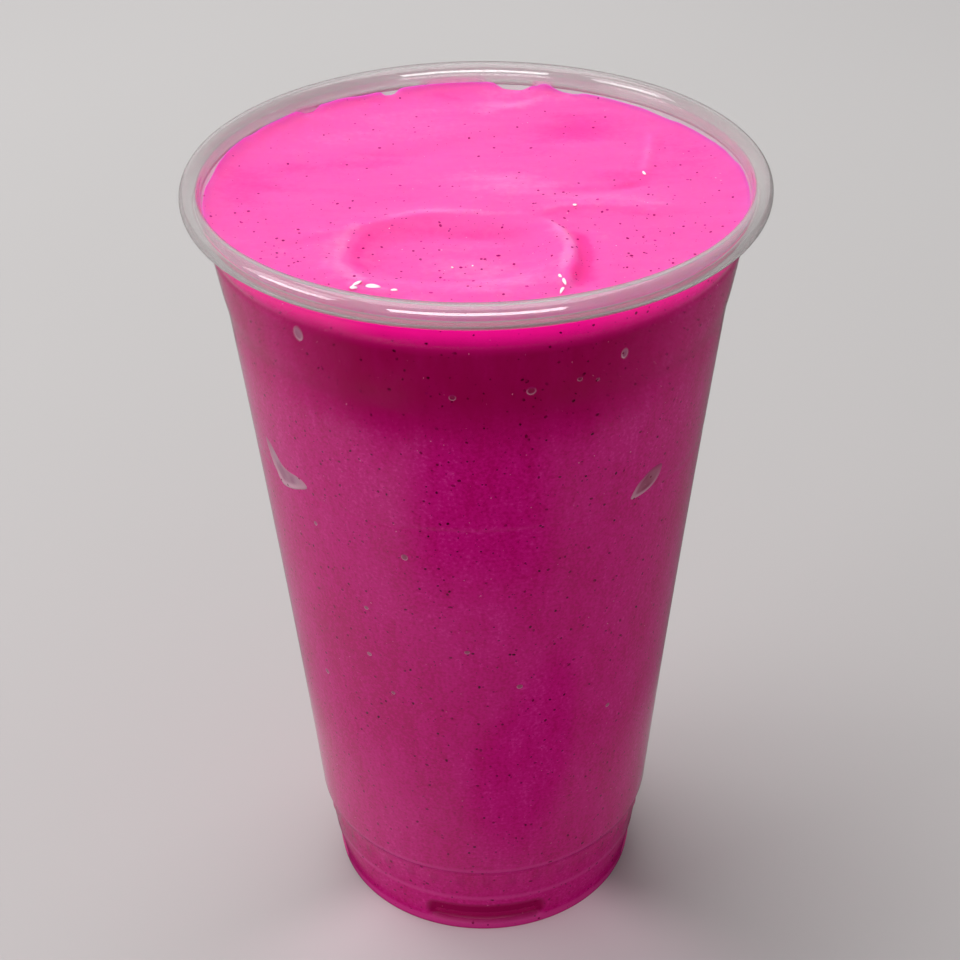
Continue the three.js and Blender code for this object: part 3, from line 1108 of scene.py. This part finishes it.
def scatter_tree(name, finish, kind):
    """Node tree that strews small rounded grains over a surface, more where seed_share is high."""
    tree = bpy.data.node_groups.new(name, "GeometryNodeTree")
    tree.interface.new_socket("Surface", in_out="INPUT", socket_type="NodeSocketGeometry")
    for key in ("density", "small", "large", "falloff", "flatness"):
        socket = tree.interface.new_socket(key, in_out="INPUT", socket_type="NodeSocketFloat")
        socket.default_value = kind[key]
    draw = tree.interface.new_socket("draw", in_out="INPUT", socket_type="NodeSocketInt")
    draw.default_value = kind["draw"]
    tree.interface.new_socket("Grains", in_out="OUTPUT", socket_type="NodeSocketGeometry")
    n = Nodes(tree)
    given = n.add("NodeGroupInput")
    value = {socket.name: Value(n, socket) for socket in given.outputs if socket.name}
    number = {"data_type": "FLOAT"}
    share = n.value("GeometryNodeInputNamedAttribute", number, {"Name": "seed_share"})
    points = n.add("GeometryNodeDistributePointsOnFaces", {}, {
        "Mesh": value["Surface"], "Density": value["density"] * share, "Seed": value["draw"],
    })
    chance = n.value("FunctionNodeRandomValue", number, {"Seed": value["draw"] + 1}, output=1)
    size = chance.maths("POWER", value["falloff"])
    local = n.value("GeometryNodeInputNamedAttribute", number, {"Name": "seed_size"})
    radius = (value["small"] + size * (value["large"] - value["small"])) * local
    shortest, longest = GRAIN_LENGTH
    spread = {2: shortest, 3: longest, "Seed": value["draw"] + 2}
    length = n.value("FunctionNodeRandomValue", number, spread, output=1)
    scale = n.value("ShaderNodeCombineXYZ", {}, {
        "X": radius * length, "Y": radius, "Z": radius * value["flatness"],
    })
    turn = n.value("FunctionNodeRandomValue", number, {3: math.pi, "Seed": value["draw"] + 3}, output=1)
    grain = n.value("GeometryNodeMeshIcoSphere", {}, {"Radius": MM, "Subdivisions": 1})
    placed = n.value("GeometryNodeInstanceOnPoints", {}, {
        "Points": Value(n, points.outputs["Points"]), "Instance": grain,
        "Rotation": Value(n, points.outputs["Rotation"]), "Scale": scale,
    })
    spin = n.value("ShaderNodeCombineXYZ", {}, {"Z": turn})
    spun = n.value("GeometryNodeRotateInstances", {}, {"Instances": placed, "Rotation": spin})
    solid = n.value("GeometryNodeRealizeInstances", {}, {"Geometry": spun})
    done = n.value("GeometryNodeSetMaterial", {}, {"Geometry": solid, "Material": finish})
    n.add("NodeGroupOutput", {}, {"Grains": done})
    return tree


def strew(name, surface_piece, kind):
    """One kind of small grain, strewn over a piece and made a plain mesh."""
    carrier = add_object(name + "_carrier", surface_piece.data)
    modifier = carrier.modifiers.new("strew", "NODES")
    modifier.node_group = scatter_tree(name, grain_finish(kind), kind)
    evaluated = carrier.evaluated_get(bpy.context.evaluated_depsgraph_get())
    mesh = bpy.data.meshes.new_from_object(evaluated)
    carrier.modifiers.remove(modifier)
    bpy.data.objects.remove(carrier)
    mesh.name = name
    place_piece(add_object(name, mesh), "berry_smoothie")


def closed_curve(points, steps):
    """Even steps round a smooth closed curve through the points."""
    loop = [points[-1], *points, points[0], points[1]]
    run = curve_through(loop, steps * (len(loop) - 1) // len(points) + 2)
    place = np.linspace(0, len(loop) - 1, len(run))
    wanted = np.linspace(1, len(points) + 1, steps, endpoint=False)
    return np.stack([np.interp(wanted, place, run[:, k]) for k in (0, 1)], 1)


def on_wall(angle, z, inset):
    """Points at an angle in degrees, a height and a distance in from the cup's outer face."""
    return round_axis(wall_radius(z) - inset, np.radians(angle), z)


def lens(outline, rings):
    """A thin closed pad against the wall: its points, faces and two finish values."""
    middle = outline.mean(axis=0)
    share = np.linspace(1, 0, rings + 1)[:-1, None, None]
    flat = middle + (outline - middle) * share
    lip = AIR_LIP * np.sin(np.pi * np.clip((1 - share[..., 0]) / AIR_LIP_SHARE, 0, 1))
    front = on_wall(flat[..., 0], flat[..., 1], INSET - AIR_OUT - lip)
    back = on_wall(flat[:1, :, 0], flat[:1, :, 1], WALL)
    poles = on_wall(*middle, WALL), on_wall(*middle, INSET - AIR_OUT)
    points, faces = skin(np.concatenate([back, front]), *poles)
    inward = np.concatenate([[0] * len(outline), np.repeat(1 - share[:, 0, 0], len(outline)), [0, 1]])
    tall = (flat[..., 1] - outline[:, 1].min()) / np.ptp(outline[:, 1])
    low = 1 - np.concatenate([tall[0], tall.reshape(-1), [0.5, 0.5]])
    return points, faces, inward, low


def make_air(finish):
    """All pockets and bubbles as one piece."""
    outlines = [
        (closed_curve(points, POCKET_STEPS), POCKET_RINGS, AIR_PALE[side])
        for side, points in AIR_POCKETS.items()
    ]
    turn = np.linspace(0, 2 * math.pi, BUBBLE_STEPS, endpoint=False)
    for angle, z, width, tallness, paleness in BUBBLES:
        half = math.degrees(width / 2 / wall_radius(z))
        ring = np.stack([angle + half * np.cos(turn), z + width / 2 * tallness * np.sin(turn)], 1)
        outlines.append((ring, BUBBLE_RINGS, paleness))
    pads = [lens(outline, rings) for outline, rings, _ in outlines]
    piece = make_object("air_pockets", *joined(pad[:2] for pad in pads), finish)
    inward, low = (np.concatenate([pad[k] for pad in pads]) for k in (2, 3))
    fill = np.repeat([outline[2] for outline in outlines], [len(pad[0]) for pad in pads])
    set_values(piece, inward=inward, low=low, fill=fill)
    place_piece(piece, "berry_smoothie")


def make_smears(finish):
    """Thin films left on the wall above the drink."""
    across, up = SMEAR_STEPS
    share, level = np.meshgrid(np.linspace(0, 1, across + 1), np.linspace(0, 1, up + 1))
    index = np.arange(share.size).reshape(share.shape)
    quads = np.stack([index[:-1, :-1], index[:-1, 1:], index[1:, 1:], index[1:, :-1]], 2).reshape(-1, 4)
    rim = np.concatenate([index[0, :-1], index[:-1, -1], index[-1, :0:-1], index[:0:-1, 0]])
    walls = np.stack([rim, rim + index.size, np.roll(rim, -1) + index.size, np.roll(rim, -1)], 1)
    faces = np.concatenate([quads[:, ::-1], quads + index.size, walls]).tolist()
    films = []
    for start, end, low, high in SMEARS:
        angle, z = start + (end - start) * share, low + (high - low) * level
        sheets = [on_wall(angle, z, WALL + depth) for depth in (-SMEAR_BITE, SMEAR_THICKNESS)]
        films.append((np.concatenate([sheet.reshape(-1, 3) for sheet in sheets]), faces))
    piece = make_object("wall_smears", *joined(films), finish)
    make_outward(piece)
    fade = np.sin(np.pi * share) ** 0.7 * (1 - level) ** 0.8
    set_values(piece, cover=np.tile(fade.ravel(), 2 * len(SMEARS)))
    place_piece(piece, "berry_smoothie")


def make_lumps(finish):
    """Small wet lumps, half sunk in the drink's surface."""
    rise = np.radians(np.linspace(-90, 90, LUMP_RINGS + 1)[1:-1, None])
    turn = np.linspace(0, 2 * math.pi, LUMP_STEPS, endpoint=False)[None, :]
    three, two = LUMP_UNEVEN
    lumps = []
    for number, (x, y, half_x, half_y, spin) in enumerate(WET_LUMPS):
        uneven = 1 + three * np.sin(3 * turn + number) + two * np.sin(2 * turn + 2 * number)
        out = np.cos(rise) * uneven
        right, back = rotated(half_x * out * np.cos(turn), half_y * out * np.sin(turn), spin)
        tall = LUMP_HEIGHT * min(half_x, half_y)
        level = surface(np.array([x]), np.array([y]))[0]
        up = tall * np.sin(rise) + 0 * turn
        rings = np.stack([x + right, y + back, level + up], 2)
        lumps.append(skin(rings, (x, y, level - tall), (x, y, level + tall)))
    piece = make_object("wet_lumps", *joined(lumps), finish)
    # Painted glint: white towards each lump's top.
    glint = smooth((np.sin(rise[:, 0]) - LUMP_GLINT_START) / LUMP_GLINT_REACH)
    each = np.concatenate([np.repeat(glint, LUMP_STEPS), [0, 1]])
    set_values(piece, wet=np.tile(each, len(WET_LUMPS)))
    place_piece(piece, "berry_smoothie")


# Camera, light and floor

def set_camera():
    data = bpy.data.cameras.new("camera")
    data.sensor_width = CAMERA_SENSOR
    data.lens = CAMERA_LENS
    camera = add_object("camera", data)
    tilt = Matrix.Rotation(math.radians(90 - CAMERA_ELEVATION), 4, "X")
    roll = Matrix.Rotation(math.radians(CAMERA_ROLL), 4, "Z")
    back = tilt @ Vector((0, 0, CAMERA_DISTANCE * MM, 1))
    aim = Vector((0, 0, CAMERA_AIM_HEIGHT * MM))
    camera.matrix_world = Matrix.Translation(aim + back.to_3d()) @ tilt @ roll
    bpy.context.scene.camera = camera


def add_window(name, bearing, elevation, width, height, radiance, on_matt, on_gloss):
    """A soft window seen from the cup: bearing from the front towards +X, all angles in degrees."""
    turn, rise = math.radians(bearing), math.radians(elevation)
    toward = Vector((math.sin(turn) * math.cos(rise), -math.cos(turn) * math.cos(rise), math.sin(rise)))
    data = bpy.data.lights.new(name, "AREA")
    data.shape = "RECTANGLE"
    data.size = 2 * WINDOW_DISTANCE * math.tan(math.radians(width / 2))
    data.size_y = 2 * WINDOW_DISTANCE * math.tan(math.radians(height / 2))
    data.energy = math.pi * radiance * data.size * data.size_y
    light = add_object(name, data)
    light.location = Vector((0, 0, WINDOW_AIM_HEIGHT)) + toward * WINDOW_DISTANCE
    light.rotation_euler = toward.to_track_quat("Z", "Y").to_euler()
    light.visible_diffuse = on_matt
    light.visible_glossy = on_gloss
    light.visible_transmission = on_gloss


def set_world():
    """Pale surround, and a dimmer soft fill on matt things."""
    world = bpy.data.worlds.new("soft_room")
    world.use_nodes = True
    n = Nodes(world.node_tree)
    n.tree.nodes.clear()
    [matt] = n.rays("Diffuse")
    background = n.value("ShaderNodeBackground", {}, {"Color": n.mix(matt, SURROUND, FILL)})
    n.add("ShaderNodeOutputWorld", {}, {"Surface": background})
    bpy.context.scene.world = world


def make_floor():
    half = FLOOR_HALF
    corners = [(-half, -half, 0), (half, -half, 0), (half, half, 0), (-half, half, 0)]
    floor = make_object("floor", corners, [[0, 1, 2, 3]], floor_finish(), soft=False)


set_camera()
make_floor()
set_world()
for window in WINDOWS:
    add_window(*window)
bpy.context.scene.view_settings.view_transform = "Standard"

make_cup(plastic_finish())
drink = make_drink(side_finish(), top_finish())
make_air(air_finish())
make_smears(smear_finish())
make_lumps(lump_finish())
for name, kind in GRAINS.items():
    strew(name, drink, kind)
